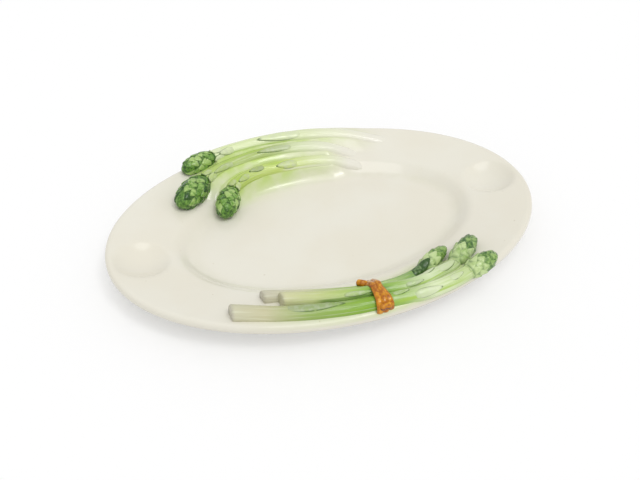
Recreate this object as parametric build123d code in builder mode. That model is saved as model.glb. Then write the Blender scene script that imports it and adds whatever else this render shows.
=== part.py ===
from build123d import *
import os
from math import atan2, cos, pi, radians, sin, sqrt
from typing import NamedTuple

# Oval asparagus platter: a glazed dish with a sauce well in each end of its rim, three modelled
# spears laid on the rear rim and a tied bundle of three more on the front rim. Millimetres, with
# the origin under the middle of the dish on the surface it stands on, X along the dish.

# Dish
lip_half_length = 190.0
lip_half_width = 130.0
lip_height = 27.0
lip_thickness = 8.0
lip_round = 3.8
end_rim_width = 56.0
side_rim_width = 46.0
well_edge_height = 18.0
well_edge_round = 18.0
well_wall_run = 13.0
floor_height = 9.0
floor_round = 16.0
floor_thickness = 5.0
knee_outset = 6.0
knee_drop = 6.0
knee_round = 14.0
base_outset = 3.0
base_round = 5.0
bed_depth = 40.0

# Foot ring
foot_half_length = 110.0
foot_half_width = 64.0
foot_width = 6.0
foot_draft = 0.8
foot_round = 1.2

# Sauce wells
sauce_diameter = 46.0
sauce_depth = 7.5
sauce_wall = 5.0
sauce_edge_round = 2.5
sauce_across = 0.5

# Spears
bedding = 3.5
bract_thickness = 1.3
stalk_stations = 6
swell_share = 0.40
scale_rows_above = 1.2
scale_row_step = 0.9
scale_reach = 1.75
scale_proud = 1.3
scale_root = 1.6
scale_notch_start = 0.30
scale_tip_gap = 0.82

# Tie
tie_angle = -91.5
tie_strand_width = 9.5
tie_strand_thickness = 1.8
tie_bite = 1.2
tie_skew = 8.0
tie_step = 0.9
tail_length = 6.8
tail_diameter = 5.6
tail_heading = 141.0
tail_start = 5.6
tail_setback = 1.2
tail_height = 5.6
knot_length = 10.0
knot_diameter = 6.0
knot_outset = 7.6
knot_rise = 3.6
end_round = 2.2


class Oval(NamedTuple):
    """One level ellipse of the dish."""

    half_length: float
    half_width: float
    height: float

    def grown(self, by, height):
        return Oval(self.half_length + by, self.half_width + by, height)


class Place(NamedTuple):
    """A point of a spear's axis: the angle round the dish, the share of the way across
    the rim from the well's edge to the lip (or, below 0, down the well's wall), and how
    far the axis lies above its usual bed."""

    angle: float
    across: float
    raised: float


class Bract(NamedTuple):
    """A scale leaf on a stalk: its share of the way along, its roll about the stalk from
    straight up, and its size."""

    along: float
    roll: float
    length: float
    width: float


class Spear(NamedTuple):
    """One spear: its radii, its route from the butt to the neck, its head, its bracts and the
    spears that it leans on."""

    butt_radius: float
    neck_radius: float
    head_radius: float
    scale_rows: int
    scales_in_row: int
    route: tuple
    tip: Place
    bracts: tuple
    leans_on: tuple = ()


lip = Oval(lip_half_length, lip_half_width, lip_height)
lip_underside = lip.grown(0, lip_height - lip_thickness)
well_edge = Oval(lip_half_length - end_rim_width, lip_half_width - side_rim_width, well_edge_height)
floor_edge = well_edge.grown(-well_wall_run, floor_height)
knee = well_edge.grown(knee_outset, well_edge_height - knee_drop)
base = floor_edge.grown(base_outset, floor_height - floor_thickness)
foot_height = base.height

rear_spears = {
    "rear_outer": Spear(
        butt_radius=8.0, neck_radius=7.2, head_radius=9.2, scale_rows=4, scales_in_row=6,
        route=(Place(54, 0.66, -13.0), Place(72, 0.66, -1.5), Place(90, 0.75, 0.0),
               Place(103, 0.80, 0.0), Place(113.5, 0.81, 0.3)),
        tip=Place(125, 0.83, 0.5),
        bracts=(Bract(0.62, -22, 46, 13), Bract(0.93, -45, 17, 10))),
    "rear_middle": Spear(
        butt_radius=7.8, neck_radius=7.0, head_radius=11.8, scale_rows=4, scales_in_row=7,
        route=(Place(64, 0.24, -12.6), Place(76, 0.29, -1.3), Place(92, 0.42, 0.0),
               Place(108, 0.45, 0.0), Place(118, 0.42, 0.5), Place(125, 0.33, 1.7)),
        tip=Place(144.7, 0.19, 2.7),
        bracts=(Bract(0.52, -24, 36, 9), Bract(0.87, -42, 26, 9))),
    "rear_inner": Spear(
        butt_radius=7.6, neck_radius=6.4, head_radius=10.0, scale_rows=4, scales_in_row=6,
        route=(Place(62, -0.10, -12.2), Place(75, -0.08, -3.0), Place(92, 0.0, -0.6),
               Place(106, 0.02, 0.4), Place(115, -0.10, 1.0), Place(121, -0.40, 2.0)),
        tip=Place(139.2, -1.94, 2.4),
        bracts=(Bract(0.55, -38, 22, 10), Bract(0.77, -12, 17, 8), Bract(0.94, -35, 15, 9)),
        leans_on=("rear_middle",)),
}

front_spears = {
    "front_outer": Spear(
        butt_radius=6.8, neck_radius=6.0, head_radius=7.8, scale_rows=4, scales_in_row=6,
        route=(Place(-130, 0.74, 0.0), Place(-116, 0.73, 0.0), Place(-101, 0.77, 0.0),
               Place(tie_angle, 0.805, 0.0), Place(-77, 0.91, 0.1), Place(-67.5, 0.92, 0.7)),
        tip=Place(-57, 0.96, 2.2),
        bracts=(Bract(0.40, 20, 28, 9), Bract(0.79, 45, 24, 9))),
    "front_inner": Spear(
        butt_radius=5.6, neck_radius=5.0, head_radius=6.5, scale_rows=4, scales_in_row=5,
        route=(Place(-125, 0.24, 0.5), Place(-110, 0.24, 0.5), Place(tie_angle, 0.388, 0.5),
               Place(-82, 0.41, 0.7), Place(-74, 0.33, 1.0)),
        tip=Place(-58, 0.12, 1.9),
        bracts=(Bract(0.92, -10, 20, 9),)),
    "front_middle": Spear(
        butt_radius=6.2, neck_radius=5.8, head_radius=8.0, scale_rows=4, scales_in_row=6,
        route=(Place(-118, 0.41, 3.6), Place(-104, 0.475, 3.7), Place(tie_angle, 0.564, 3.5),
               Place(-80, 0.65, 1.9), Place(-72, 0.605, 1.0), Place(-66, 0.585, 1.2)),
        tip=Place(-49, 0.34, 2.3),
        bracts=(Bract(0.36, 40, 20, 7), Bract(0.93, 8, 18, 9)),
        leans_on=("front_outer", "front_inner")),
}


def dish_point(angle, across, height=0.0):
    """Point at a height over the dish, by angle and by share of the way across."""
    inner = well_edge if across >= 0 else floor_edge
    outer = lip if across >= 0 else well_edge
    share = across if across >= 0 else across + 1
    half_length = inner.half_length + share * (outer.half_length - inner.half_length)
    half_width = inner.half_width + share * (outer.half_width - inner.half_width)
    ground = max(inner.height + share * (outer.height - inner.height), floor_edge.height)
    turn = radians(angle)
    return Vector(half_length * cos(turn), half_width * sin(turn), ground + height)


def axis_point(spear, place):
    """Point of a spear's axis over its bed on the dish."""
    return dish_point(place.angle, place.across, spear.butt_radius - bedding + place.raised)


def dish_form(lower_ovals):
    """Dish body under the common top face, closed below by the given ovals."""
    with BuildPart() as form:
        for oval in (*lower_ovals, lip, well_edge, floor_edge):
            with BuildSketch(Plane.XY.offset(oval.height)):
                Ellipse(oval.half_length, oval.half_width)
        loft(ruled=True)
        for oval, size in ((lip, lip_round), (well_edge, well_edge_round), (floor_edge, floor_round)):
            ovals = form.edges().filter_by(GeomType.ELLIPSE)
            fillet(ovals.filter_by_position(Axis.Z, oval.height, oval.height), size)
    return form.part


def sauce_plane(side):
    """Plane on the rim's face over a sauce well, side 1 at +X and -1 at -X."""
    rise = atan2(lip.height - well_edge.height, end_rim_width)
    middle = dish_point(0, sauce_across)
    return Plane(origin=(side * middle.X, 0, middle.Z), x_dir=(0, 1, 0),
                 z_dir=(-side * sin(rise), 0, cos(rise)))


def sauce_boss(side, bowl_radius):
    """Rounded boss under the rim that carries one sauce well."""
    face = sauce_plane(side)
    with BuildPart() as boss:
        with Locations(face.offset(bowl_radius - sauce_depth).origin):
            Sphere(bowl_radius + sauce_wall)
        split(bisect_by=face.offset(-sauce_wall), keep=Keep.BOTTOM)
    return boss.part


def make_platter():
    """Dish with both sauce wells."""
    bowl_radius = (sauce_diameter**2 / 4 + sauce_depth**2) / (2 * sauce_depth)
    with BuildPart() as platter:
        add(dish_form((base, knee, lip_underside)))
        for oval, size in ((lip_underside, lip_round), (knee, knee_round), (base, base_round)):
            ovals = platter.edges().filter_by(GeomType.ELLIPSE)
            fillet(ovals.filter_by_position(Axis.Z, oval.height, oval.height), size)
        for side in (-1, 1):
            add(sauce_boss(side, bowl_radius))
        for side in (-1, 1):
            with Locations(sauce_plane(side).offset(bowl_radius - sauce_depth).origin):
                Sphere(bowl_radius, mode=Mode.SUBTRACT)
        balls = platter.faces().filter_by(GeomType.SPHERE)
        bowls = balls.filter_by(lambda face: face.normal_at().Z > 0)
        fillet(bowls.edges().filter_by(GeomType.BSPLINE), sauce_edge_round)
    return platter.part


def make_foot_ring():
    """Bare ring that the dish stands on."""
    outer = Oval(foot_half_length, foot_half_width, foot_height)
    inner = outer.grown(-foot_width, foot_height)
    with BuildPart() as ring:
        for oval, draft, mode in ((outer, -foot_draft, Mode.ADD), (inner, foot_draft, Mode.SUBTRACT)):
            with BuildSketch(Plane.XY.offset(oval.height)):
                Ellipse(oval.half_length, oval.half_width)
            with BuildSketch():
                Ellipse(oval.half_length + draft, oval.half_width + draft)
            loft(ruled=True, mode=mode)
        fillet(ring.faces().sort_by(Axis.Z)[0].edges(), foot_round)
    return ring.part


def spear_axis(spear):
    """Curve along the middle of a stalk, which leaves the neck straight towards the head's tip."""
    points = [axis_point(spear, place) for place in spear.route]
    start = points[1] - points[0]
    end = axis_point(spear, spear.tip) - points[-1]
    with BuildLine() as axis:
        Spline(*points, tangents=(start.normalized(), end.normalized()))
    return axis.line


def stalk_form(spear, axis, grown=0.0):
    """Round stalk that tapers from its butt to its neck."""
    with BuildPart() as form:
        for station in range(stalk_stations):
            share = station / (stalk_stations - 1)
            along = axis % share
            section = Plane(origin=axis @ share, x_dir=along.cross(Vector(0, 0, 1)), z_dir=along)
            with BuildSketch(section):
                Circle(spear.butt_radius + share * (spear.neck_radius - spear.butt_radius) + grown)
        loft()
    return form.part


def head_radius_at(spear, length, height):
    """Radius of a head's core at a height over the neck."""
    swell = swell_share * length
    if height < swell:
        return spear.neck_radius + (spear.head_radius - spear.neck_radius) * sin(pi / 2 * height / swell)
    return spear.head_radius * sqrt(max(0.0, 1 - ((height - swell) / (length - swell)) ** 2))


def head_core(spear, length):
    """Blunt bud that swells from the neck and closes in an elliptical dome."""
    swell = swell_share * length
    with BuildPart() as core:
        with BuildSketch(Plane.XZ):
            with BuildLine():
                Spline((spear.neck_radius, 0), (spear.head_radius, swell),
                       tangents=((spear.head_radius - spear.neck_radius, swell / 2), (0, 1)))
                EllipticalCenterArc((0, swell), spear.head_radius, length - swell, arc_size=90)
                Polyline((0, length), (0, 0), (spear.neck_radius, 0))
            make_face()
        revolve(axis=Axis.Z)
    return core.part


def scale_crown(spear, length, row):
    """One row of pointed scales that hug the bud and stand proud at their tips."""
    pitch = length / (spear.scale_rows + scale_rows_above)
    low = row * pitch * scale_row_step
    high = low + pitch * scale_reach
    middle = (low + high) / 2
    outer_low = head_radius_at(spear, length, low)
    outer_middle = head_radius_at(spear, length, middle)
    outer_high = head_radius_at(spear, length, high)
    half_gap = pi * (outer_high + scale_proud) / spear.scales_in_row * scale_tip_gap
    notch_low = low + scale_notch_start * (high - low)
    turn = 180 / spear.scales_in_row * (row % 2)
    with BuildPart() as crown:
        with BuildSketch(Plane.XZ):
            Polygon((outer_low, low), (outer_middle + scale_proud, middle), (outer_high + scale_proud, high),
                    (outer_high - scale_root, high), (outer_middle - 2 * scale_root, middle),
                    (outer_low - scale_root, low), align=None)
        revolve(axis=Axis.Z)
        with BuildSketch(Plane.YZ) as notch:
            Polygon((0, notch_low), (half_gap, high), (half_gap, high + pitch), (-half_gap, high + pitch),
                    (-half_gap, high), align=None)
        wedge = extrude(notch.sketch, amount=2 * spear.head_radius, mode=Mode.PRIVATE)
        with PolarLocations(0, spear.scales_in_row, start_angle=turn):
            add(wedge, mode=Mode.SUBTRACT)
    return crown.part


def make_head(spear, axis):
    """Head of overlapping scales, seated on the end of its stalk."""
    neck = axis @ 1
    length = (axis_point(spear, spear.tip) - neck).length
    along = axis % 1
    with BuildPart() as bud:
        crowns = [scale_crown(spear, length, row) for row in range(spear.scale_rows)]
        add([head_core(spear, length), *crowns])
    seat = Plane(origin=neck, x_dir=along.cross(Vector(0, 0, 1)), z_dir=along)
    return bud.part.moved(seat.location)


def bract_blank(spear, axis, bract):
    """Leaf outline, pointed towards the head, pushed out from the stalk's axis."""
    along = axis % bract.along
    side = along.cross(Vector(0, 0, 1)).normalized()
    up = side.cross(along).rotate(Axis((0, 0, 0), along), bract.roll)
    leaf = Plane(origin=axis @ bract.along, x_dir=along, z_dir=up)
    half = bract.length / 2
    with BuildPart() as blank:
        with BuildSketch(leaf):
            with BuildLine():
                Spline((-half, 0), (-half / 3, bract.width / 2), (half, 0),
                       tangents=((0, 1), (1, -bract.width / bract.length)))
                mirror(about=Plane.XZ)
            make_face()
        extrude(amount=2 * spear.butt_radius)
    return blank.part


def make_bracts(spear, axis):
    """All scale leaves of one stalk, laid on as thin pieces that follow its curve."""
    with BuildPart() as leaves:
        for bract in spear.bracts:
            add(bract_blank(spear, axis, bract))
        add(stalk_form(spear, axis, bract_thickness), mode=Mode.INTERSECT)
    return leaves.part


def seated(piece, carriers):
    """The piece, cut where it meets what carries it."""
    with BuildPart() as cut:
        add(piece)
        add(carriers, mode=Mode.SUBTRACT)
    return cut.part


def at_tie(spear):
    """Point of a front spear's axis where the tie crosses it."""
    return axis_point(spear, next(place for place in spear.route if place.angle == tie_angle))


def tie_strand(skew, step):
    """One strand of the tie, drawn tight round the front bundle, before the stalks are cut from it."""
    turn = radians(skew)
    across = Plane(origin=at_tie(front_spears["front_middle"]), x_dir=(sin(turn), cos(turn), 0),
                   z_dir=(cos(turn), -sin(turn), 0))
    with BuildPart() as strand:
        for grown, mode in ((tie_strand_thickness + step, Mode.ADD), (-tie_bite, Mode.SUBTRACT)):
            with BuildSketch(across):
                for spear in front_spears.values():
                    centre = across.to_local_coords(at_tie(spear))
                    with Locations((centre.X, centre.Y)):
                        Circle(spear.butt_radius + grown)
                make_hull()
            extrude(amount=tie_strand_width / 2, both=True, mode=mode)
    return strand.part


def make_tail():
    """Short end of the tie that points over the inner stalk, away from the bundle."""
    turn = radians(tail_heading)
    heading = Vector(cos(turn), sin(turn), 0)
    root = at_tie(front_spears["front_inner"]) + Vector(0, -tail_setback, tail_height) + heading * tail_start
    with BuildPart() as tail:
        with BuildSketch(Plane(origin=root, z_dir=heading)):
            Circle(tail_diameter / 2)
        extrude(amount=tail_length)
        fillet(tail.faces().sort_by(Axis(root, heading))[-1].edges(), end_round)
    return tail.part


def make_knot():
    """Rounded knot low on the outer side of the bundle."""
    centre = at_tie(front_spears["front_outer"]) + Vector(0, -knot_outset, knot_rise)
    with BuildPart() as knot:
        with BuildSketch(Plane(origin=centre, z_dir=(1, 0, 0))):
            Circle(knot_diameter / 2)
        extrude(amount=knot_length / 2, both=True)
        fillet(knot.faces().filter_by(Plane.YZ).edges(), end_round)
    return knot.part


os.makedirs("parts", exist_ok=True)


def hand_in(piece, name):
    """Name a finished piece and write it."""
    piece.label = name
    export_step(piece, f"parts/{name}.step")


hand_in(make_platter(), "platter_body")
hand_in(make_foot_ring(), "foot_ring")

bed = dish_form((lip.grown(0, lip.height - bed_depth),))
stalks = {}
for name, spear in (rear_spears | front_spears).items():
    axis = spear_axis(spear)
    carriers = [stalks[other] for other in spear.leans_on]
    stalks[name] = seated(stalk_form(spear, axis), [bed, *carriers])
    hand_in(stalks[name], f"{name}_stalk")
    hand_in(seated(make_head(spear, axis), [bed]), f"{name}_head")
    hand_in(seated(make_bracts(spear, axis), [stalks[name]]), f"{name}_bracts")

bundle = [stalk_form(spear, spear_axis(spear)) for spear in front_spears.values()]
under_strand = seated(tie_strand(tie_skew, 0.0), [bed, *bundle])
over_strand = seated(tie_strand(-tie_skew, tie_step), [bed, *bundle, under_strand])
tail = seated(make_tail(), [bed, *bundle, under_strand, over_strand])
knot = seated(make_knot(), [bed, stalks["front_outer"], under_strand, over_strand])
hand_in(under_strand, "tie_under_strand")
hand_in(over_strand, "tie_over_strand")
hand_in(tail, "tie_tail")
hand_in(knot, "tie_knot")
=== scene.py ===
import math
import random
from itertools import pairwise
from typing import NamedTuple

import bmesh
import bpy
from mathutils import Matrix, Vector, noise
from mathutils.geometry import interpolate_bezier
from mathutils.kdtree import KDTree


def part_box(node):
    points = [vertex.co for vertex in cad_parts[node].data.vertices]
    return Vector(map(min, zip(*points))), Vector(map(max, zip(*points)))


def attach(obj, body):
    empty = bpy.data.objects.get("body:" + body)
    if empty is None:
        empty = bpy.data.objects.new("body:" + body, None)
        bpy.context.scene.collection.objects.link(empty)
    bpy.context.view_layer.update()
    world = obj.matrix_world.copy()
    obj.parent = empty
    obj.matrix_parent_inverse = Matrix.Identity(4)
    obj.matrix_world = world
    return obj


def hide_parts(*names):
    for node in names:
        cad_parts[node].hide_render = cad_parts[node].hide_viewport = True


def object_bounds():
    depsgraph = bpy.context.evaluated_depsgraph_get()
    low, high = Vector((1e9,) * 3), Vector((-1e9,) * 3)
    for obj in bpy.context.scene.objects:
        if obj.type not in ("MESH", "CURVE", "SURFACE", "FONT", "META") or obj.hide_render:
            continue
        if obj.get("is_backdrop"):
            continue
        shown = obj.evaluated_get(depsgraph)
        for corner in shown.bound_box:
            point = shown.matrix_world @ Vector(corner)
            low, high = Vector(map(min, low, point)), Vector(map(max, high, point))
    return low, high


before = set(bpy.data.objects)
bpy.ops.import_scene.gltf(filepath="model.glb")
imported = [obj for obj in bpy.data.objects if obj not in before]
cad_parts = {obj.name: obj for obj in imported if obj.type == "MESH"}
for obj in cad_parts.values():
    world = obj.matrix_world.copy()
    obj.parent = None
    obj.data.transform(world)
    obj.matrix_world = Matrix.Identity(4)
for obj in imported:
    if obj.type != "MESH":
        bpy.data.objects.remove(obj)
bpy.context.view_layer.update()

# The dish is earthenware, pressed in an oval mould: a flat floor, a short sloping wall, a wide rim, a thick
# rounded lip and a round sauce well scooped in each end. It is dipped in a glossy ivory glaze that gathers
# where the wall meets the floor, thins on the lip and carries a few iron specks. The lip is tinted darker,
# partly for that thin glaze and partly as painted shade.
mm = 0.001
ring_points = 600
corner_steps = 6
rim_at_ends = 56 * mm
rim_at_sides = 46 * mm
wall_run = 13 * mm
lip_height = 27 * mm
lip_underside_height = 19 * mm
well_edge_height = 18 * mm
floor_height = 9 * mm
knee_height = 12 * mm
knee_out = 6 * mm
base_out = 3 * mm
middle_half_length = 12 * mm
middle_half_width = 7 * mm
wobble = 0.3 * mm
wobble_scale = 12
pull_in = 0.004
pull_scale = 9


class Oval(NamedTuple):
    """One level ellipse of the dish."""

    half_length: float
    half_width: float
    height: float


class Corner(NamedTuple):
    """An oval that the dish's profile turns at, how far its rounding reaches to each side, and how
    far apart the rings lie on the way to it."""

    oval: Oval
    reach: float
    spacing: float


dish_low, dish_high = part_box("platter_body")
lip = Oval(dish_high.x, dish_high.y, lip_height)
well_edge = Oval(lip.half_length - rim_at_ends, lip.half_width - rim_at_sides, well_edge_height)
floor_edge = Oval(well_edge.half_length - wall_run, well_edge.half_width - wall_run, floor_height)
lip_underside = Oval(lip.half_length, lip.half_width, lip_underside_height)
knee = Oval(well_edge.half_length + knee_out, well_edge.half_width + knee_out, knee_height)
base = Oval(floor_edge.half_length + base_out, floor_edge.half_width + base_out, dish_low.z)
floor_middle = Oval(middle_half_length, middle_half_width, floor_edge.height)
base_middle = Oval(middle_half_length, middle_half_width, base.height)
profile = [
    Corner(floor_middle, 0.0, 4 * mm),
    Corner(floor_edge, 5.0 * mm, 4 * mm),
    Corner(well_edge, 3.8 * mm, 1.6 * mm),
    Corner(lip, 4.4 * mm, 1.3 * mm),
    Corner(lip_underside, 3.3 * mm, 1.3 * mm),
    Corner(knee, 3.0 * mm, 3 * mm),
    Corner(base, 2.0 * mm, 3 * mm),
    Corner(base_middle, 0.0, 6 * mm),
]


def between(first, second, share):
    """The oval part of the way from one to another."""
    return Oval(*(a + share * (b - a) for a, b in zip(first, second)))


def apart(first, second):
    """How far apart two ovals lie, measured across the dish."""
    return math.hypot(second.half_width - first.half_width, second.height - first.height)


def rounded(corners):
    """Ovals along a profile whose corners are rounded."""
    path = [corners[0].oval]
    for before, corner, after in zip(corners, corners[1:], corners[2:] + corners[-1:]):
        start = corner.oval
        if corner.reach:
            start = between(corner.oval, before.oval, corner.reach / apart(corner.oval, before.oval))
        last = path[-1]
        steps = max(1, round(apart(last, start) / corner.spacing))
        path += [between(last, start, step / steps) for step in range(1, steps + 1)]
        if corner.reach:
            end = between(corner.oval, after.oval, corner.reach / apart(corner.oval, after.oval))
            for step in range(1, corner_steps + 1):
                share = step / corner_steps
                arc_in = between(start, corner.oval, share)
                arc_out = between(corner.oval, end, share)
                path.append(between(arc_in, arc_out, share))
    return path


def ring_edges(ring):
    """Edges between the vertices of a closed ring."""
    inside = set(ring)
    found = {}
    for vertex in ring:
        for edge in vertex.link_edges:
            if inside.issuperset(edge.verts):
                found[edge] = True
    return list(found)


def drawn_out(shape, ring):
    """Extrude a closed ring and give back the vertices of the new one."""
    grown = bmesh.ops.extrude_edge_only(shape, edges=ring_edges(ring))["geom"]
    return [item for item in grown if isinstance(item, bmesh.types.BMVert)]


def finished_piece(name, shape, material):
    """Turn a shape into a smooth piece that rides on the dish."""
    for face in shape.faces:
        face.smooth = True
    mesh = bpy.data.meshes.new(name)
    shape.to_mesh(mesh)
    shape.free()
    mesh.materials.append(material)
    piece = bpy.data.objects.new(name, mesh)
    bpy.context.collection.objects.link(piece)
    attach(piece, "root")
    return piece


class Wire:
    """An output socket of a shader tree, with arithmetic between sockets and numbers."""

    def __init__(self, tree, socket=None):
        self.tree = tree
        self.socket = socket

    def node(self, kind, settings=None, inputs=None, output=0):
        """Add any node: its settings first, then its inputs by name or number."""
        made = self.tree.nodes.new("ShaderNode" + kind)
        for name, value in (settings or {}).items():
            setattr(made, name, value)
        for name, value in (inputs or {}).items():
            self.feed(made, name, value)
        return Wire(self.tree, made.outputs[output])

    def feed(self, made, name, value):
        """Give an input of a node a value or another wire."""
        if isinstance(value, Wire):
            self.tree.links.new(value.socket, made.inputs[name])
        else:
            made.inputs[name].default_value = value

    def maths(self, operation, first, second=0.0):
        """Work on one or two values."""
        return self.node("Math", {"operation": operation}, {0: first, 1: second})

    def __add__(self, other):
        return self.maths("ADD", self, other)

    def __radd__(self, other):
        return self.maths("ADD", other, self)

    def __sub__(self, other):
        return self.maths("SUBTRACT", self, other)

    def __rsub__(self, other):
        return self.maths("SUBTRACT", other, self)

    def __mul__(self, other):
        return self.maths("MULTIPLY", self, other)

    def __rmul__(self, other):
        return self.maths("MULTIPLY", other, self)

    def __truediv__(self, other):
        return self.maths("DIVIDE", self, other)

    def __pow__(self, other):
        return self.maths("POWER", self, other)

    def __abs__(self):
        return self.maths("ABSOLUTE", self)

    def step(self, low, high):
        """Smooth step from 0 at low to 1 at high."""
        return self.node("MapRange", {"interpolation_type": "SMOOTHSTEP"},
                         {"Value": self, "From Min": low, "From Max": high})

    def tint(self, first, second):
        """The first colour where this is 0 and the second where it is 1."""
        return self.node("Mix", {"data_type": "RGBA"}, {0: self, 6: first, 7: second}, 2)

    def noise(self, scale, detail=2.0, roughness=0.5):
        """Cloudy pattern over this vector, from 0 to 1."""
        return self.node("TexNoise", {}, {"Vector": self, "Scale": scale, "Detail": detail,
                                          "Roughness": roughness})

    def stretched(self, across, along):
        """This vector with its first two values and its third scaled apart."""
        return self.node("VectorMath", {"operation": "MULTIPLY"}, {0: self, 1: (across, across, along)})

    def parts(self):
        """The three values of this vector."""
        split = self.node("SeparateXYZ", {}, {0: self}).socket.node
        return [Wire(self.tree, socket) for socket in split.outputs]


def screen(red, green, blue):
    """A colour given as a screen shows it, from 0 to 255, as linear light."""
    shares = [value / 255 for value in (red, green, blue)]
    return (*[s / 12.92 if s < 0.04 else ((s + 0.055) / 1.055) ** 2.4 for s in shares], 1.0)


class Finish:
    """A material with one shader, whose sockets are fed by wires."""

    def __init__(self, name, roughness):
        self.material = bpy.data.materials.new(name)
        self.material.use_nodes = True
        tree = self.material.node_tree
        self.shader = tree.nodes["Principled BSDF"]
        self.shader.inputs["Roughness"].default_value = roughness
        self.start = Wire(tree)

    def set(self, name, value):
        """Give a socket of the shader a value or a wire."""
        self.start.feed(self.shader, name, value)

    def bump(self, height, distance):
        """Roughen the surface by a pattern."""
        self.set("Normal", self.start.node("Bump", {}, {"Height": height, "Distance": distance}))


def oval_share(x, y, oval):
    """How far out a point lies, where 1 is on that oval."""
    return ((x / oval.half_length) ** 2 + (y / oval.half_width) ** 2) ** 0.5


ivory = screen(229, 226, 213)
ivory_warm = screen(226, 221, 205)
ivory_thin_and_shade = screen(216, 211, 196)
ivory_pool = screen(221, 218, 200)
speck_brown = screen(176, 160, 130)
green_water = screen(186, 210, 112)

dish_glaze = Finish("ivory_glaze", 0.16)
place = dish_glaze.start.node("TexCoord", output="Object")
stain = dish_glaze.start.node("Attribute", {"attribute_name": "stain"}, output="Fac")
x, y, height = place.parts()
cloud = place.noise(16.0, 3.0).step(0.35, 0.68)
lip_thin_and_shade = oval_share(x, y, lip).step(0.975, 1.0)
pool = 1 - abs(oval_share(x, y, floor_edge) - 1).step(0.0, 0.09)
drift = place.noise(55.0, 2.0)
specks = place.noise(420.0, 1.0).step(0.735, 0.79) * place.noise(60.0, 1.0).step(0.5, 0.7)
colour = (cloud * 0.7).tint(ivory, ivory_warm)
colour = (pool * height.step(16 * mm, 10 * mm) * 0.6 * drift.step(0.2, 0.7)).tint(colour, ivory_pool)
# The lip is tinted darker, partly for its thin glaze and partly as painted shade.
colour = (lip_thin_and_shade * 0.4).tint(colour, ivory_thin_and_shade)
colour = (specks * 0.4).tint(colour, speck_brown)
colour = (stain * (0.6 + 0.4 * drift.step(0.3, 0.6))).tint(colour, green_water)
dish_glaze.set("Base Color", colour)
dish_glaze.set("Roughness", 0.12 + 0.08 * place.noise(90.0, 3.0))
dish_glaze.bump(place.noise(40.0, 1.0) + 0.05 * place.noise(500.0, 1.0), 0.25 * mm)

sauce_middle = (well_edge.half_length + lip.half_length) / 2
sauce_radius = 23 * mm
sauce_depth = 7.5 * mm
sauce_wall = 5 * mm
sauce_soft_edge = 1.3 * mm
bowl_radius = (sauce_radius**2 + sauce_depth**2) / (2 * sauce_depth)
rim_thickness = 7.4 * mm


def bowl_drop(point, radius):
    """How far a ball of that radius, laid in a sauce well, hangs below the rim at a point."""
    off = math.hypot(abs(point.x) - sauce_middle, point.y)
    if off >= radius:
        return -radius
    return math.sqrt(radius**2 - off**2) - (bowl_radius - sauce_depth)


def softly_positive(depth):
    """A depth where it is above 0, and 0 below, with a soft change between them."""
    return (depth + math.hypot(depth, sauce_soft_edge)) / 2


rings = rounded(profile)
lip_ring = max(range(len(rings)), key=lambda number: rings[number].half_length)
dish = bmesh.new()
ring = bmesh.ops.create_circle(dish, cap_ends=True, segments=ring_points, radius=1.0)["verts"]
bmesh.ops.scale(dish, vec=(rings[0].half_length, rings[0].half_width, 1.0), verts=ring)
bmesh.ops.translate(dish, vec=(0, 0, rings[0].height), verts=ring)
for number, (before, after) in enumerate(pairwise(rings), start=1):
    ring = drawn_out(dish, ring)
    stretch = (after.half_length / before.half_length, after.half_width / before.half_width, 1.0)
    bmesh.ops.scale(dish, vec=stretch, verts=ring)
    bmesh.ops.translate(dish, vec=(0, 0, after.height - before.height), verts=ring)
    if number == lip_ring:
        upper = set(dish.verts)
bmesh.ops.contextual_create(dish, geom=ring_edges(ring))
bmesh.ops.recalc_face_normals(dish, faces=dish.faces[:])
for vertex in dish.verts:
    if vertex in upper:
        vertex.co.z -= softly_positive(bowl_drop(vertex.co, bowl_radius))
    elif vertex.co.z > base.height + mm:
        vertex.co.z -= softly_positive(bowl_drop(vertex.co, bowl_radius + sauce_wall) - rim_thickness)
    out = min(1.0, vertex.co.to_2d().length / floor_edge.half_width)
    vertex.co.z += wobble * out * noise.noise(vertex.co * wobble_scale)
    vertex.co.xy *= 1 - pull_in * out * (1 + noise.noise(vertex.co * pull_scale)) / 2
dish_piece = finished_piece("dish", dish, dish_glaze.material)
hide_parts("platter_body")

# The foot is a narrow oval ring turned up under the dish. Its glaze is wiped off before firing, so that the
# dish doesn't stick to the kiln shelf, and the bare buff clay shows.
clay = screen(205, 186, 155)
clay_dark = screen(176, 150, 116)
clay_grit = screen(128, 102, 76)

foot_clay = Finish("bare_clay", 0.8)
place = foot_clay.start.node("TexCoord", output="Object")
height = place.parts()[2]
colour = place.noise(60.0, 4.0).step(0.3, 0.7).tint(clay, clay_dark)
colour = (place.noise(900.0, 2.0).step(0.66, 0.74) * 0.8).tint(colour, clay_grit)
colour = (height.step(0.8 * mm, 0.0) * 0.35).tint(colour, clay_grit)
foot_clay.set("Base Color", colour)
foot_clay.bump(place.noise(1200.0, 3.0), 0.3 * mm)
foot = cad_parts["foot_ring"]
foot.data.materials.clear()
foot.data.materials.append(foot_clay.material)

# The stalks are six round coils of clay, rolled to a taper and laid along the rim, whose clay is worked up
# against them: three at the rear with sunk butts, three at the front with cut ends, the middle one on top.
# Each is brushed with yellow-green glaze that fades to ivory at the butt, with finer lines drawn along it.
# The cut ends carry painted shade, one broad stroke on the outer front stalk is painted shadow and one pale
# stroke on the inner rear stalk is painted highlight.
bedding = 3.5
stalk_points = 48
station_spacing = 2.0 * mm
curve_points = 40
halvings = 14
buried = 4 * mm
ridges = 5
ridge_depth = 0.010
roll_unevenness = 0.03
cut_edge = {0.0: 0.86, 0.4 * mm: 0.95, 1.2 * mm: 1.0}
cut_fade = 16 * mm
cut_sideways = 0.36
cut_upwards = 0.14
# Painted shade on the slanted cut ends of the front stalks, laid as the first wash of their glaze.
cut_end_painted_shade = screen(192, 188, 168)
tie_angle = -91.5


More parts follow.
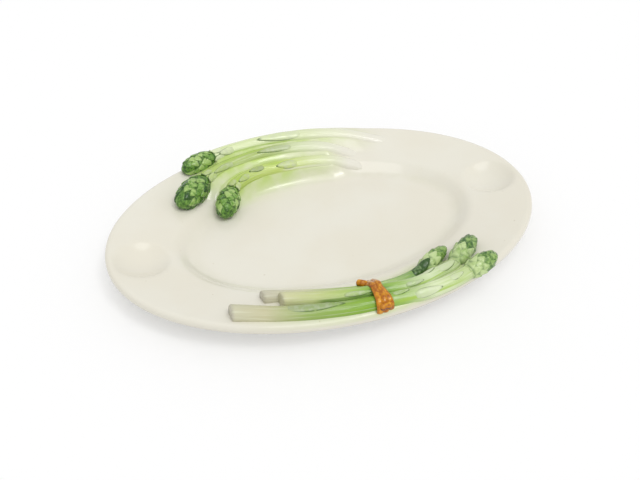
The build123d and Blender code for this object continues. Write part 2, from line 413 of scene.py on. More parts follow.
class Place(NamedTuple):
    """A point of a spear's axis: the angle round the dish, the share of the way across the rim from the
    well's edge to the lip (or, below 0, down the well's wall), and how far it lies above its bed in mm."""

    angle: float
    across: float
    raised: float


class Bract(NamedTuple):
    """A leaf on a stalk: the share of the stalk at its middle, its roll in degrees, its length and width in
    mm, and how dark its glaze is."""

    share: float
    roll: float
    length: float
    width: float
    darkness: float


class Spear(NamedTuple):
    """One spear: its radii in mm, the scales in a row of its head, its route from the butt to the neck, its
    tip, its bracts, and the washes of glaze by their share of the stalk."""

    butt: float
    neck: float
    head: float
    scales: int
    route: list
    tip: Place
    bracts: list
    washes: list


spears = {
    "rear_outer": Spear(
        butt=8.0, neck=7.2, head=9.2, scales=7,
        route=[Place(54, 0.66, -13.0), Place(72, 0.66, -1.5), Place(90, 0.75, 0), Place(103, 0.80, 0),
               Place(113.5, 0.81, 0.3)],
        tip=Place(125, 0.83, 0.5),
        bracts=[Bract(0.62, -22, 46, 13, 0.0), Bract(0.93, -45, 17, 9, 0.1),
                Bract(0.985, -72, 14, 7, 0.1), Bract(0.985, -8, 15, 8, 0.0)],
        washes=[(0.1, ivory), (0.4, screen(222, 227, 192)), (0.65, screen(214, 226, 172)),
                (1.0, screen(224, 234, 186))]),
    "rear_middle": Spear(
        butt=7.8, neck=7.0, head=11.8, scales=8,
        route=[Place(64, 0.24, -12.6), Place(76, 0.29, -1.3), Place(92, 0.42, 0), Place(108, 0.45, 0),
               Place(118, 0.42, 0.5), Place(125, 0.33, 1.7)],
        tip=Place(144.7, 0.19, 2.7),
        bracts=[Bract(0.52, -24, 36, 8, 0.15), Bract(0.87, -42, 28, 6.5, 0.1),
                Bract(0.98, -58, 17, 9, 0.0), Bract(0.98, 0, 15, 8, 0.1)],
        washes=[(0.1, ivory), (0.35, screen(212, 221, 180)), (0.6, screen(166, 186, 104)),
                (1.0, screen(178, 200, 110))]),
    "rear_inner": Spear(
        butt=7.6, neck=6.4, head=10.0, scales=7,
        route=[Place(62, -0.10, -12.2), Place(75, -0.08, -3), Place(92, 0.0, -0.6), Place(106, 0.02, 0.4),
               Place(115, -0.10, 1.0), Place(121, -0.40, 2.0)],
        tip=Place(139.2, -1.94, 2.4),
        bracts=[Bract(0.55, -38, 22, 10, 0.1), Bract(0.77, -12, 17, 8, 0.35), Bract(0.89, -35, 14, 7, 0.1),
                Bract(0.985, -60, 15, 8, 0.0), Bract(0.985, -2, 14, 7, 0.1)],
        washes=[(0.1, ivory), (0.3, screen(214, 222, 174)), (0.6, screen(196, 214, 116)),
                (1.0, screen(172, 196, 92))]),
    "front_outer": Spear(
        butt=6.8, neck=6.0, head=7.8, scales=6,
        route=[Place(-130, 0.74, 0), Place(-116, 0.73, 0), Place(-101, 0.77, 0), Place(tie_angle, 0.805, 0),
               Place(-77, 0.91, 0.1), Place(-67.5, 0.92, 0.7)],
        tip=Place(-57, 0.96, 2.2),
        bracts=[Bract(0.335, 0, 46, 9, 0.25), Bract(0.79, 45, 24, 9, 0.0), Bract(0.68, -5, 14, 5, 0.0),
                Bract(0.93, 15, 14, 6, 0.0)],
        washes=[(0.0, cut_end_painted_shade), (0.015, screen(202, 199, 170)), (0.14, screen(196, 192, 154)),
                (0.3, screen(148, 172, 92)), (0.55, screen(124, 168, 40)), (0.68, screen(144, 180, 80)),
                (0.82, screen(218, 230, 186)), (1.0, screen(188, 208, 142))]),
    "front_inner": Spear(
        butt=5.6, neck=5.0, head=6.5, scales=5,
        route=[Place(-125, 0.24, 0.5), Place(-110, 0.24, 0.5), Place(tie_angle, 0.388, 0.5),
               Place(-82, 0.41, 0.7), Place(-74, 0.33, 1.0)],
        tip=Place(-58, 0.12, 1.9),
        bracts=[Bract(0.99, 12, 22, 12, 1.0), Bract(0.76, 30, 12, 5, 0.1)],
        washes=[(0.0, cut_end_painted_shade), (0.02, screen(198, 194, 172)), (0.25, screen(202, 202, 164)),
                (0.5, screen(148, 182, 82)), (0.72, screen(182, 206, 134)), (0.9, screen(122, 158, 86)),
                (1.0, screen(106, 142, 74))]),
    "front_middle": Spear(
        butt=6.2, neck=5.8, head=8.0, scales=6,
        route=[Place(-118, 0.41, 3.6), Place(-104, 0.475, 3.7), Place(tie_angle, 0.564, 3.5),
               Place(-80, 0.65, 1.9), Place(-72, 0.605, 1.0), Place(-66, 0.585, 1.2)],
        tip=Place(-49, 0.34, 2.3),
        bracts=[Bract(0.40, 34, 24, 5, 0.1), Bract(0.93, 8, 18, 9, 0.0), Bract(0.70, 30, 16, 5, 0.1),
                Bract(0.82, -25, 13, 5, 0.1)],
        # The first wash is a little painted shade on the cut end.
        washes=[(0.0, screen(196, 194, 160)), (0.02, screen(206, 206, 160)), (0.2, screen(192, 202, 134)),
                (0.36, screen(168, 196, 102)), (0.5, screen(126, 174, 54)), (0.62, screen(154, 188, 98)),
                (0.8, screen(212, 226, 184)), (1.0, screen(182, 202, 140))]),
}


class Station(NamedTuple):
    """A point of a stalk's axis with the directions along it, to its side and up from it."""

    middle: Vector
    along: Vector
    side: Vector
    up: Vector

    def out(self, turn):
        """Direction outwards, at a turn from upright."""
        return self.up * math.cos(turn) + self.side * math.sin(turn)


def oval_at(across):
    """The dish's oval at a share of the way across the rim or, below 0, down the well's wall."""
    if across < 0:
        return between(floor_edge, well_edge, across + 1)
    return between(well_edge, lip, across)


def rim_height(point):
    """Height of the rim or the well's wall at a point, before clay is worked up against the stalks."""
    inner, outer = -1.0, 1.0
    for _ in range(halvings):
        across = (inner + outer) / 2
        oval = oval_at(across)
        if oval_share(point.x, point.y, oval) < 1:
            outer = across
        else:
            inner = across
    return oval.height


def dish_point(angle, across, height):
    """Point at a height over the dish, by angle and by share of the way across."""
    oval = oval_at(across)
    turn = math.radians(angle)
    ground = max(oval.height, floor_edge.height)
    return Vector((oval.half_length * math.cos(turn), oval.half_width * math.sin(turn), ground + height))


def axis_point(spear, place):
    """Point of a spear's axis over its bed on the dish."""
    return dish_point(place.angle, place.across, (spear.butt - bedding + place.raised) * mm)


def station_at(middle, along):
    """A station whose side lies level."""
    side = along.cross(Vector((0, 0, 1))).normalized()
    return Station(middle, along.normalized(), side, side.cross(along).normalized())


class Course:
    """The line along the middle of a stalk, measured from its butt. It leaves the neck towards the tip."""

    def __init__(self, spear):
        points = [axis_point(spear, place) for place in spear.route]
        points.append(axis_point(spear, spear.tip))
        slopes = [(points[1] - points[0]).normalized()]
        for before, point, after in zip(points, points[1:], points[2:]):
            come, go = point - before, after - point
            slopes.append((come.normalized() * go.length + go.normalized() * come.length).normalized())
        slopes[-1] = (points[-1] - points[-2]).normalized()
        line = points[:1]
        for (start, leave), (end, arrive) in pairwise(zip(points[:-1], slopes)):
            reach = (end - start).length / 3
            curve = interpolate_bezier(start, start + leave * reach, end - arrive * reach, end, curve_points)
            line += curve[1:]
        self.line = line
        self.passed = [0.0]
        for start, end in pairwise(line):
            self.passed.append(self.passed[-1] + (end - start).length)
        self.length = self.passed[-1]
        self.head_length = (points[-1] - points[-2]).length

    def at(self, distance):
        """Station at a distance from the butt, straight on past either end."""
        number = 1
        while number < len(self.line) - 1 and self.passed[number] < distance:
            number += 1
        start, end = self.line[number - 1], self.line[number]
        along = (end - start).normalized()
        return station_at(start + along * (distance - self.passed[number - 1]), along)


class Section(NamedTuple):
    """One ring of a swept piece, with its half width and half height and how far along it lies."""

    station: Station
    half_width: float
    half_height: float
    share: float


def sweep(shape, sections, points, flute=None):
    """Skin rings into a closed tube. Each vertex keeps its direction round the tube and its share along it
    in girth, and flute may make it thicker or thinner there."""
    girth = shape.verts.layers.float_vector["girth"]
    ring = bmesh.ops.create_circle(shape, cap_ends=True, segments=points, radius=1.0)["verts"]
    for vertex in ring:
        vertex[girth] = vertex.co
    for number, section in enumerate(sections):
        if number:
            ring = drawn_out(shape, ring)
        for vertex in ring:
            across, rise, _ = vertex[girth]
            swell = 1 + flute(across, rise, section.share) if flute else 1
            offset = section.station.side * across * section.half_width
            offset += section.station.up * rise * section.half_height
            vertex.co = section.station.middle + offset * swell
            vertex[girth] = (across, rise, section.share)
    bmesh.ops.contextual_create(shape, geom=ring_edges(ring))


def stalk_flute(across, rise, share):
    """Shallow ridges and unevenness of a hand-rolled stalk."""
    ridge = ridge_depth * math.sin(ridges * math.atan2(across, rise) + 3 * share)
    return ridge + roll_unevenness * noise.noise((across, rise, share * 9))


def stalk_radius(spear, share):
    """Radius of a stalk, in mm, at a share of the way from its butt to its neck."""
    return spear.butt + share * (spear.neck - spear.butt)


def stalk_sections(spear, course):
    """Rings of a stalk, with its end cut on the slant and the edge rounded off."""
    steps = round(course.length / station_spacing)
    sections = []
    for distance in [*cut_edge, *[course.length * step / steps for step in range(1, steps + 1)]]:
        share = distance / course.length
        radius = stalk_radius(spear, share) * mm * cut_edge.get(distance, 1.0)
        station = course.at(distance)
        slant = max(0.0, 1 - distance / cut_fade)
        station = station._replace(side=station.side + station.along * cut_sideways * slant,
                                   up=station.up + station.along * cut_upwards * slant)
        sections.append(Section(station, radius, radius, share))
    return sections


def ramp(wire, stops):
    """Colour by a value from 0 to 1, through stops of place and colour."""
    made = wire.node("ValToRGB", {}, {0: wire})
    elements = made.socket.node.color_ramp.elements
    while len(elements) < len(stops):
        elements.new(1.0)
    for element, (position, shade) in zip(elements, stops):
        element.position = position
        element.color = shade
    return made


streak_green = screen(164, 196, 76)
# Pale streaks of the brushing; the same colour is also used for a painted highlight.
pale_streak_and_highlight = screen(232, 236, 208)
line_green = screen(92, 132, 50)
line_grey = screen(150, 158, 126)
# Painted shadow, brushed as a broad stroke on the outer front stalk's far side next to the middle stalk.
painted_shadow_green = screen(166, 184, 134)
stroke_fade = 0.08
stroke_core = 0.35
stroke_waver = 10


class Stroke(NamedTuple):
    """A line brushed along a stalk: its roll and width in degrees, the shares of the stalk where it starts
    and ends, and its colour."""

    roll: float
    width: float
    start: float
    end: float
    colour: tuple


strokes = {
    "rear_outer": [Stroke(40, 9, 0.30, 0.58, line_green), Stroke(-75, 22, 0.5, 0.98, streak_green)],
    "rear_middle": [Stroke(42, 9, 0.16, 0.52, line_grey), Stroke(30, 8, 0.50, 0.68, line_green),
                    Stroke(10, 22, 0.55, 0.9, streak_green)],
    # The pale stroke low on the inner rear stalk's front side is a painted highlight.
    "rear_inner": [Stroke(38, 8, 0.18, 0.48, line_green), Stroke(-8, 20, 0.54, 0.72, streak_green),
                   Stroke(-20, 22, 0.84, 0.98, streak_green), Stroke(-78, 14, 0.2, 0.62, pale_streak_and_highlight)],
    # The broad stroke on the outer front stalk is painted shadow next to the middle stalk.
    "front_outer": [Stroke(-34, 40, 0.22, 0.5, painted_shadow_green), Stroke(-58, 16, 0.3, 0.66, line_green),
                    Stroke(60, 22, 0.62, 1.0, streak_green), Stroke(8, 12, 0.26, 0.45, line_green)],
    "front_inner": [Stroke(62, 20, 0.3, 0.8, line_green), Stroke(-20, 12, 0.55, 0.9, line_green)],
    "front_middle": [Stroke(66, 20, 0.16, 0.6, line_green), Stroke(20, 12, 0.42, 0.6, line_green),
                     Stroke(-50, 10, 0.2, 0.6, line_green), Stroke(48, 12, 0.66, 0.95, streak_green)],
}


def stalk_finish(name, washes, lines):
    """Brushed yellow-green glaze of one stalk: washes along it, then lines, some of them painted shadow and
    painted highlight.
    """
    glaze = Finish(name, 0.15)
    girth = glaze.start.node("Attribute", {"attribute_name": "girth"}, output="Vector")
    across, rise, along = girth.parts()
    turn = across.maths("ARCTAN2", across, rise) * (180 / math.pi)
    colour = ramp(along, washes)
    brushed = girth.stretched(2.6, 3.0).noise(1.6, 3.0)
    fine = girth.stretched(8.0, 4.0).noise(1.5, 4.0, 0.6)
    colour = (brushed.step(0.5, 0.8) * along.step(0.2, 0.6) * 0.55).tint(colour, streak_green)
    colour = (brushed.step(0.5, 0.25) * 0.4).tint(colour, pale_streak_and_highlight)
    for roll, width, start, end, shade in lines:
        stroke = abs(turn - roll + stroke_waver * (brushed - 0.5)).step(width, width * stroke_core)
        stroke = stroke * along.step(start, start + stroke_fade) * along.step(end, end - stroke_fade)
        colour = (stroke * fine.step(0.3, 0.55) * 0.8).tint(colour, shade)
    colour = (fine.step(0.55, 0.8) * along.step(0.1, 0.5) * 0.3).tint(colour, line_grey)
    glaze.set("Base Color", colour)
    glaze.set("Roughness", 0.10 + 0.10 * girth.stretched(5.0, 30.0).noise(1.0))
    glaze.bump(fine + 0.4 * girth.stretched(20.0, 8.0).noise(1.0, 3.0), 0.2 * mm)
    return glaze.material


courses = {name: Course(spear) for name, spear in spears.items()}
for name, spear in spears.items():
    stalk = bmesh.new()
    stalk.verts.layers.float_vector.new("girth")
    sweep(stalk, stalk_sections(spear, courses[name]), stalk_points, stalk_flute)
    bmesh.ops.recalc_face_normals(stalk, faces=stalk.faces[:])
    for vertex in stalk.verts:
        vertex.co.z = max(vertex.co.z, rim_height(vertex.co) - buried)
    glaze = stalk_finish(f"{name}_stalk_glaze", spear.washes, strokes[name])
    piece = finished_piece(f"{name}_spear_stalk", stalk, glaze)
    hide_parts(f"{name}_stalk")


class Fill(NamedTuple):
    """How clay is worked up against a stalk: how far under the rim the stalk's middle may lie for it to
    start, the share of that height, the most of it, how far it reaches to the side, how its slope falls
    away, how many radii from the butt it is whole, and how strongly the green runs off onto it."""

    lead: float
    rate: float
    most: float
    reach: float
    fall: float
    onset: float
    stain: float


rear_fill = Fill(lead=5.5 * mm, rate=0.8, most=8.0 * mm, reach=12 * mm, fall=1.1, onset=4.0, stain=1.6)
bundle_fill = Fill(lead=1.5 * mm, rate=1.0, most=8.0 * mm, reach=8 * mm, fall=1.2, onset=4.0, stain=0.9)
lip_fill = Fill(lead=0.0, rate=0.8, most=6.5 * mm, reach=8 * mm, fall=1.4, onset=4.0, stain=0.9)
fills = {"front_outer": lip_fill, "front_inner": bundle_fill, "front_middle": bundle_fill}
radii_off = 2.2
stain_reach = 14 * mm
stain_fall = 1.3
least_facing = 0.1


class Bed:
    """One stalk's line along the rim, which tells how much clay and stain lie beside it."""

    def __init__(self, spear, course, fill):
        self.spear = spear
        self.course = course
        self.fill = fill
        self.middles = [course.at(step * mm).middle for step in range(int(course.length / mm))]
        self.nearest = KDTree(len(self.middles))
        for step, middle in enumerate(self.middles):
            self.nearest.insert((middle.x, middle.y, 0), step)
        self.nearest.balance()

    def clay_and_stain(self, point):
        """Height of the clay and strength of the stain at a point of the dish."""
        _, step, off = self.nearest.find((point.x, point.y, 0))
        share = step * mm / self.course.length
        radius = stalk_radius(self.spear, share) * mm
        beside = max(0.0, off - radius)
        if beside > stain_reach:
            return 0.0, 0.0
        grown = min(1.0, step * mm / (self.fill.onset * radius))
        standing = self.middles[step].z - point.z
        lying = min(1.0, max(0.0, radii_off - standing / radius))
        slope = max(0.0, 1 - beside / self.fill.reach) ** self.fill.fall
        clay = min(self.fill.rate * max(0.0, standing + self.fill.lead), self.fill.most) * slope * lying
        green = min(1.0, self.fill.stain * share) * grown * (1 - beside / stain_reach) ** stain_fall
        return clay * grown, green


beds = [Bed(spear, courses[name], fills.get(name, rear_fill)) for name, spear in spears.items()]
stain_marks = dish_piece.data.attributes.new("stain", "FLOAT", "POINT")
facings = [vertex.normal.z for vertex in dish_piece.data.vertices]
for vertex, facing in zip(dish_piece.data.vertices, facings):
    if facing > least_facing:
        clays, stains = zip(*[bed.clay_and_stain(vertex.co) for bed in beds])
        stain_marks.data[vertex.index].value = max(stains)
        vertex.co.z += max(clays)

# The heads are blunt buds, modelled on the ends of the stalks with rows of overlapping pointed scales. Copper
# green is brushed over them, dark along the edges of the scales and at their tips, thin on their bellies,
# with painted shade at the root of each scale.
swell_share = 0.40
core_points = 36
core_steps = 24
core_inset = 0.1 * mm
core_overlap = 0.04
core_end = [0.985, 0.998]
core_along = 0.5
core_tone = 0.3
leaf_across = 10
leaf_along = 12
leaf_thickness = 0.9 * mm
least_spread = 0.03
head_rows = 6
spare_rows = 0.55
row_step = 0.86
dark_rows = 3
fewer_at_top = 2
scale_length = 1.85
scale_overlap = 1.4
scale_root = 0.25
scale_lift = 1.5
scale_sink = 0.45
scale_tip = 0.84
scale_point = 1.7
scale_limit = 0.995
least_radius = 0.1 * mm
turn_play = 0.22
length_play = 0.3
highest_tip = 0.99


def head_radius(spear, length, height):
    """Radius of a head's core, in metres, at a height over the neck."""
    swell = swell_share * length
    if height < swell:
        return (spear.neck + (spear.head - spear.neck) * math.sin(math.pi / 2 * max(height, 0) / swell)) * mm
    return spear.head * mm * math.sqrt(max(0.0, 1 - ((height - swell) / (length - swell)) ** 2))


def leaf(shape, surface, tone):
    """Lay a leaf on a surface that gives a point, its outward direction and its share along the spear's piece
    for a place across (-1 to 1) and along (0 to 1) the leaf. Each vertex keeps these places and the leaf's
    tone in leaf, and the share in girth."""
    marks = shape.verts.layers.float_vector["leaf"]
    girth = shape.verts.layers.float_vector["girth"]
    verts = bmesh.ops.create_grid(shape, x_segments=leaf_across, y_segments=leaf_along, size=1.0)["verts"]
    faces = list({face: True for vertex in verts for face in vertex.link_faces})
    for vertex in verts:
        across, along = vertex.co.x, (vertex.co.y + 1) / 2
        vertex.co, _, share = surface(across, along)
        vertex[marks] = (across, along, tone)
        vertex[girth] = (0, 1, share)
    grown = bmesh.ops.extrude_face_region(shape, geom=faces, use_keep_orig=True)["geom"]
    back = [item for item in grown if isinstance(item, bmesh.types.BMVert)]
    for vertex in back:
        across, along, _ = vertex[marks]
        vertex.co -= surface(across, along)[1] * leaf_thickness
    faces = list({face: True for vertex in verts + back for face in vertex.link_faces})
    bmesh.ops.recalc_face_normals(shape, faces=faces)


def tip_drop(along, start):
    """How far a leaf has bent down at a place along it, from 0 where the bend starts to 1 at its tip."""
    return max(0.0, (along - start) / (1 - start)) ** 2


def scale_rise(across, along):
    """Height of a scale over the bud, in mm: highest near its tip, and sunk in the bud at its edges."""
    crown = 1 - 0.8 * abs(across) ** 3
    return (scale_root + scale_lift * along) * crown * (1 - tip_drop(along, scale_tip)) - scale_sink


def scale_surface(spear, seat, length, low, high, turn, half_turn):
    """Surface of one pointed scale that hugs a head."""
    def surface(across, along):
        height = min(low + along * (high - low), scale_limit * length)
        bearing = turn + across * half_turn * max(least_spread, 1 - along**scale_point)
        out = seat.out(bearing)
        radius = head_radius(spear, length, height) + scale_rise(across, along) * mm
        return seat.middle + seat.along * height + out * max(radius, least_radius), out, height / length
    return surface


head_dark = screen(40, 80, 18)
head_green = screen(100, 146, 52)
head_pale = screen(164, 194, 112)
head_front_dark = screen(62, 104, 40)
head_front_green = screen(140, 174, 92)
head_front_pale = screen(192, 212, 150)
rear_outline_and_shade = 0.95
front_outline_and_shade = 0.6


def head_finish(name, body, pale, dark, base, line):
    """Copper green on the scales of one head, from dark to pale by each scale's tone, thin near the stalk
    where base shows, with dark lines as strong as line along the edges and painted shade as strong at the
    root of each scale."""
    glaze = Finish(name, 0.16)
    marks = glaze.start.node("Attribute", {"attribute_name": "leaf"}, output="Vector")
    girth = glaze.start.node("Attribute", {"attribute_name": "girth"}, output="Vector")
    place = glaze.start.node("TexCoord", output="Object")
    across, along, tone = marks.parts()
    share = girth.parts()[2]
    edge = abs(across).step(0.62, 0.96)
    tip = along.step(0.88, 1.0)
    # Painted shade at the root of each scale, where it tucks in under its neighbours.
    root = along.step(0.35, 0.1)
    mottle = place.noise(420.0, 3.0)
    shade = tone + 1.3 * (mottle - 0.5) - 0.3 * (along - 0.4)
    colour = ramp(shade, [(0.08, dark), (0.4, body), (0.9, pale)])
    colour = (share.step(0.3, 0.0) * 0.7).tint(colour, base)
    colour = (edge.maths("MAXIMUM", edge, tip) * line * mottle.step(0.3, 0.5)).tint(colour, dark)
    colour = (root * line).tint(colour, dark)
    glaze.set("Base Color", colour)
    glaze.set("Roughness", 0.08 + 0.10 * mottle)
    glaze.bump(place.noise(600.0, 2.0), 0.5 * mm)
    return glaze.material


head_tones = {"rear_outer": 0.28, "rear_middle": 0.0, "rear_inner": 0.18,
              "front_outer": 0.4, "front_inner": 0.45, "front_middle": 0.1}
chance = random.Random(11)
for name, spear in spears.items():
    course = courses[name]
    seat = course.at(course.length)
    length = course.head_length
    head = bmesh.new()
    head.verts.layers.float_vector.new("girth")
    marks = head.verts.layers.float_vector.new("leaf")
    core = []
    for share in [-core_overlap, *[step / core_steps for step in range(core_steps)], *core_end]:
        station = seat._replace(middle=seat.middle + seat.along * share * length)
        radius = head_radius(spear, length, share * length) - core_inset
        core.append(Section(station, radius, radius, share))
    sweep(head, core, core_points)
    bmesh.ops.recalc_face_normals(head, faces=head.faces[:])
    for vertex in head.verts:
        vertex[marks] = (0, core_along, core_tone)
    pitch = length / (head_rows + spare_rows)
    for row in range(head_rows):
        low = row * row_step * pitch
        high = min(low + scale_length * pitch, length * highest_tip)
        count = spear.scales if row < head_rows - 1 else spear.scales - fewer_at_top
        for number in range(count):
            turn = 2 * math.pi * (number + (row % 2) / 2 + turn_play * chance.uniform(-1, 1)) / count
            reach = high + length_play * pitch * chance.uniform(-1, 1)
            surface = scale_surface(spear, seat, length, low, reach, turn, scale_overlap * math.pi / count)
            tone = chance.uniform(0.1, 0.9) + head_tones[name]
            if name.startswith("front"):
                tone = 0.4 + 0.6 * tone if row < head_rows - dark_rows else 0.35 * tone
            leaf(head, surface, tone)
    if name.startswith("rear"):
        greens = head_green, head_pale, head_dark, head_green, rear_outline_and_shade
    else:
        greens = head_front_green, head_front_pale, head_front_dark, spear.washes[-1][1], front_outline_and_shade
    glaze = head_finish(f"{name}_head_glaze", *greens)
    piece = finished_piece(f"{name}_spear_head", head, glaze)
    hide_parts(f"{name}_head")

# The bracts are thin leaves of clay pressed on the stalks, with their points towards the heads. They carry
# their stalk's glaze, greyer, with a dark line drawn along the edges and at the point.
bract_root = 0.12
bract_tip = 0.88
bract_lift = 0.9
bract_proud = 0.35
bract_sink = 0.75
scale_run_up = 3 * mm
bract_grey = screen(206, 214, 182)
bract_line = screen(84, 112, 52)
bract_dark = screen(48, 84, 30)


def bract_surface(spear, course, bract):
    """Surface of one bract that hugs a stalk, and the scales of its head past the neck."""
    start = bract.share * course.length - bract.length * mm / 2

    def surface(across, along):
        distance = start + along * bract.length * mm
        share = distance / course.length
        radius = stalk_radius(spear, share)
        past = distance - course.length
        if past > 0:
            radius = head_radius(spear, course.head_length, past) / mm
            radius += scale_lift * min(1.0, past / scale_run_up)
        spread = math.sin(math.pi * (0.04 + 0.96 * along) ** 0.7) ** 0.85
        bearing = math.radians(bract.roll) + across * max(least_spread, spread) * bract.width / 2 / radius
        edge = abs(across) ** 4
        drop = tip_drop(along, bract_tip)
        rise = (0.1 + bract_lift * along) * (1 - edge) * (1 - drop) + bract_proud
        rise -= bract_sink * max(edge, 1 - min(1.0, along / bract_root), drop)
        station = course.at(distance)
        out = station.out(bearing)
        return station.middle + out * (radius + rise) * mm, out, share
    return surface


def bract_finish(name, washes):
    """Glaze of the bracts of one stalk."""
    glaze = Finish(name, 0.15)
    marks = glaze.start.node("Attribute", {"attribute_name": "leaf"}, output="Vector")
    girth = glaze.start.node("Attribute", {"attribute_name": "girth"}, output="Vector")
    place = glaze.start.node("TexCoord", output="Object")
    across, along, tone = marks.parts()
    mottle = place.noise(260.0, 3.0)
    edge = abs(across).step(0.62, 0.9) * along.step(0.05, 0.4)
    tip = along.step(0.85, 0.97)
    colour = ramp(girth.parts()[2], washes)
    colour = (0.15 + 0.5 * mottle.step(0.3, 0.7)).tint(colour, bract_grey)
    colour = (tone * mottle.step(0.2, 0.5)).tint(colour, bract_dark)
    colour = (edge.maths("MAXIMUM", edge, tip) * mottle.step(0.25, 0.45)).tint(colour, bract_line)
    glaze.set("Base Color", colour)
    glaze.set("Roughness", 0.10 + 0.12 * mottle)
    glaze.bump(marks.stretched(6.0, 0.0).noise(1.0), 0.2 * mm)
    return glaze.material


for name, spear in spears.items():
    bracts = bmesh.new()
    bracts.verts.layers.float_vector.new("girth")
    bracts.verts.layers.float_vector.new("leaf")
    for bract in spear.bracts:
        leaf(bracts, bract_surface(spear, courses[name], bract), bract.darkness)
    glaze = bract_finish(f"{name}_bract_glaze", spear.washes)
    piece = finished_piece(f"{name}_spear_bracts", bracts, glaze)
    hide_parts(f"{name}_bracts")

# The tie is two crossing bands of two flat clay cords, drawn tight over the front bundle and pressed into the
# rim, with a short rolled end on the inner side and a knot low on the outer side. Its orange glaze is
# dark where it has run between the cords, and yellow on the crests, partly where it thins and partly as
# painted highlight.
tie_skew = 8.0
tie_seat = 0.4 * mm
tie_step = 0.9 * mm
wrap_first = -8
wrap_last = 190
wrap_step = 3
cord_points = 24
cord_half_width = 2.5 * mm
cord_half_height = 1.35 * mm
cord_pitch = 4.3 * mm
grooves = 7
groove_depth = 0.03
cord_unevenness = 0.06
tie_orange = screen(198, 126, 0)
tie_red = screen(160, 86, 0)
tie_brown = screen(96, 42, 0)
# Yellow for the crests of the cords: thin glaze and painted highlight.
tie_crest_thin_and_highlight = screen(240, 180, 40)


def tie_wrap(step, skew, offset):
    """Line drawn tight round the front bundle and down into the rim on both sides."""
    circles = []
    for name in ("front_inner", "front_middle", "front_outer"):
        spear = spears[name]
        at_tie = next(place for place in spear.route if place.angle == tie_angle)
        circles.append((axis_point(spear, at_tie), spear.butt * mm + step))
    middle = circles[1][0].y
    line = []
    for degree in range(wrap_first, wrap_last + 1, wrap_step):
        turn = math.radians(degree)
        out = Vector((0, math.cos(turn), math.sin(turn)))
        centre, radius = max(circles, key=lambda circle: circle[0].dot(out) + circle[1])
        point = centre + out * radius
        point.x = circles[1][0].x + offset + (middle - point.y) * math.tan(math.radians(skew))
        line.append(point)
    return line


def cord_sections(line, half_width, half_height):
    """Rings of a cord along a line, with its flat side towards the bundle."""
    bundle = sum(line, Vector()) / len(line)
    sections = []
    for number, point in enumerate(line):
        along = (line[min(number + 1, len(line) - 1)] - line[max(number - 1, 0)]).normalized()
        up = point - bundle
        up = (up - along * up.dot(along)).normalized()
        station = Station(point, along, along.cross(up), up)
        sections.append(Section(station, half_width, half_height, number / (len(line) - 1)))
    return sections


def fibres(across, rise, share):
    """Grooves along a cord and its unevenness."""
    groove = groove_depth * math.sin(grooves * math.atan2(across, rise) + 5 * share)
    return groove + cord_unevenness * noise.noise((across, rise, share * 10))


tie_glaze = Finish("tie_glaze", 0.17)
girth = tie_glaze.start.node("Attribute", {"attribute_name": "girth"}, output="Vector")
place = tie_glaze.start.node("TexCoord", output="Object")
rise = girth.parts()[1]
mottle = place.noise(320.0, 3.0)
colour = mottle.step(0.4, 0.7).tint(tie_orange, tie_red)
colour = (rise.step(0.35, -0.2) * 0.9).tint(colour, tie_brown)
# Yellow on the crests: partly thin glaze, partly painted highlight.
colour = (rise.step(0.75, 1.0) * mottle.step(0.6, 0.3) * 0.5).tint(colour, tie_crest_thin_and_highlight)
tie_glaze.set("Base Color", colour)
tie_glaze.set("Roughness", 0.06 + 0.08 * mottle)
tie_glaze.bump(girth.stretched(4.0, 8.0).noise(1.0, 2.0), 0.2 * mm)

bands = {"under": (tie_skew, tie_seat), "over": (-tie_skew, tie_seat + tie_step)}
for name, (skew, step) in bands.items():
    band = bmesh.new()
    band.verts.layers.float_vector.new("girth")
    for cord in (-0.5, 0.5):
        line = tie_wrap(step, skew, cord * cord_pitch)
        sweep(band, cord_sections(line, cord_half_width, cord_half_height), cord_points, fibres)
    bmesh.ops.recalc_face_normals(band, faces=band.faces[:])
    piece = finished_piece(f"tie_{name}_band", band, tie_glaze.material)
    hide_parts(f"tie_{name}_strand")

rod_steps = 24
root_rounding = 8
end_rounding = 5
least_round = 0.02


def rod_sections(root, end, radius, bulge, lobes):
    """Rings of a short rounded rod, thicker by bulge at the middle of each lobe."""
    along = (end - root).normalized()
    sections = []
    for step in range(rod_steps + 1):
        share = step / rod_steps
        cap = min(1.0, share * root_rounding, (1 - share) * end_rounding)
        swell = 1 + bulge * math.sin(lobes * math.pi * share) ** 2
        size = radius * math.sqrt(max(least_round, cap * (2 - cap))) * swell
        sections.append(Section(station_at(root.lerp(end, share), along), size, size, share))
    return sections


def tie_rod(name, sections):
    """A piece of the tie that is one short rod."""
    rod = bmesh.new()
    rod.verts.layers.float_vector.new("girth")
    sweep(rod, sections, cord_points, fibres)
    bmesh.ops.recalc_face_normals(rod, faces=rod.faces[:])
    return finished_piece(name, rod, tie_glaze.material)


tail_radius = 2.8 * mm
tail_sunk = 1.0 * mm
tail_inset = 0.8 * mm
tail_low, tail_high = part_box("tie_tail")
tail_middle = (tail_low + tail_high) / 2
tail_root = Vector((tail_high.x + tail_sunk, tail_low.y, tail_middle.z))
tail_end = Vector((tail_low.x + tail_inset, tail_high.y - tail_inset, tail_middle.z))
tail_sections = rod_sections(tail_root, tail_end, tail_radius, bulge=0.1, lobes=1)
tail_piece = tie_rod("tie_rolled_end", tail_sections)
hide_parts("tie_tail")

knot_radius = 2.1 * mm
knot_inset = 0.4 * mm
knot_low, knot_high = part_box("tie_knot")
knot_middle = (knot_low + knot_high) / 2
knot_left = Vector((knot_low.x, knot_middle.y + knot_inset, knot_middle.z))
knot_right = Vector((knot_high.x, knot_middle.y + knot_inset, knot_middle.z))
knot_sections = rod_sections(knot_left, knot_right, knot_radius, bulge=0.4, lobes=2)
knot_piece = tie_rod("tie_low_knot", knot_sections)
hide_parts("tie_knot")

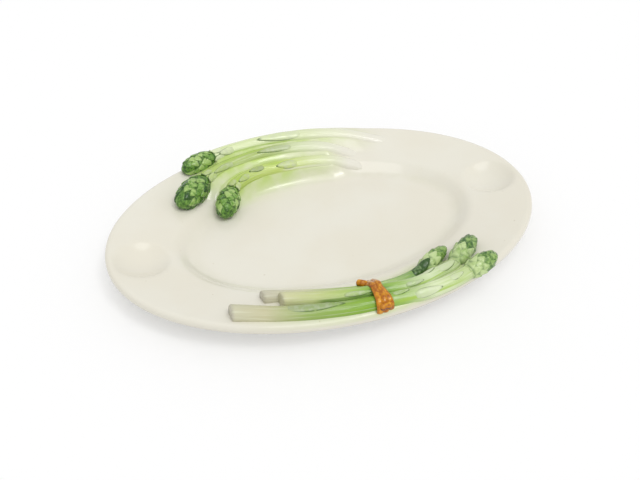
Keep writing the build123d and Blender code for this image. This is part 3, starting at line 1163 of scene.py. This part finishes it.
# The stage is a white sheet of paper under the dish, a white room and two lamps high over the front, so far
# off that they light everything evenly: a broad one for soft shadows and a small one that glints in the
# glaze. The paper glows a little, as an overexposed sheet does, which keeps its shadow pale.
white = (1.0, 1.0, 1.0, 1.0)
sheet_half = 6.0
paper_glow = 0.4
paper = Finish("white_paper", 0.9)
paper.set("Base Color", screen(248, 248, 248))
seen = paper.start.node("LightPath", output="Is Camera Ray")
glow = paper.start.node("Emission", {}, {"Color": white})
lit = Wire(paper.start.tree, paper.shader.outputs[0])
sheet_look = lit.node("MixShader", {}, {0: paper_glow * seen, 1: lit, 2: glow})
lit.feed(paper.start.tree.nodes["Material Output"], "Surface", sheet_look)
sheet = bmesh.new()
bmesh.ops.create_grid(sheet, x_segments=1, y_segments=1, size=sheet_half)
sheet_mesh = bpy.data.meshes.new("paper_sheet")
sheet.to_mesh(sheet_mesh)
sheet.free()
sheet_mesh.materials.append(paper.material)
floor = bpy.data.objects.new("paper_sheet", sheet_mesh)
bpy.context.collection.objects.link(floor)
floor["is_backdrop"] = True

room_light = 0.74
world = bpy.data.worlds.new("white_room")
world.use_nodes = True
bpy.context.scene.world = world
room = Wire(world.node_tree)
seen = room.node("LightPath", output="Is Camera Ray")
background = world.node_tree.nodes["Background"]
room.feed(background, "Color", white)
room.feed(background, "Strength", room_light + (1 - room_light) * seen)

lamps = {"broad_lamp": ((0.12, -0.5, 1.2), 45, 0.85), "small_lamp": ((0.28, -0.42, 0.87), 13, 0.3)}
for name, (location, width, strength) in lamps.items():
    light = bpy.data.lights.new(name, "SUN")
    light.angle = math.radians(width)
    light.energy = strength
    lamp = bpy.data.objects.new(name, light)
    lamp.location = location
    lamp.rotation_euler = (-lamp.location).to_track_quat("-Z", "Y").to_euler()
    bpy.context.collection.objects.link(lamp)

# The camera stands in front of the dish, a little to the left, and looks down on it. Its place and its lens
# are those that bring the outline of the lip and the lines of the stalks to their places in the picture.
camera_lens = 42.36
camera_sensor = 36.0
camera_heading = math.radians(21.28)
camera_tilt = math.radians(39.78)
camera_distance = 668 * mm
camera_shift = (-6.14 * mm, -4.53 * mm)
right = Vector((math.cos(camera_heading), -math.sin(camera_heading), 0))
level = Vector((math.sin(camera_heading), math.cos(camera_heading), 0))
forward = level * math.cos(camera_tilt) - Vector((0, 0, math.sin(camera_tilt)))
upward = level * math.sin(camera_tilt) + Vector((0, 0, math.cos(camera_tilt)))
spot = right * camera_shift[0] + upward * camera_shift[1] - forward * camera_distance
lens = bpy.data.cameras.new("camera")
lens.lens = camera_lens
lens.sensor_width = camera_sensor
camera = bpy.data.objects.new("camera", lens)
camera.matrix_world = Matrix((right, upward, -forward)).transposed().to_4x4()
camera.location = spot
bpy.context.collection.objects.link(camera)
bpy.context.scene.camera = camera
bpy.context.scene.view_settings.view_transform = "Standard"

low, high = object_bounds()
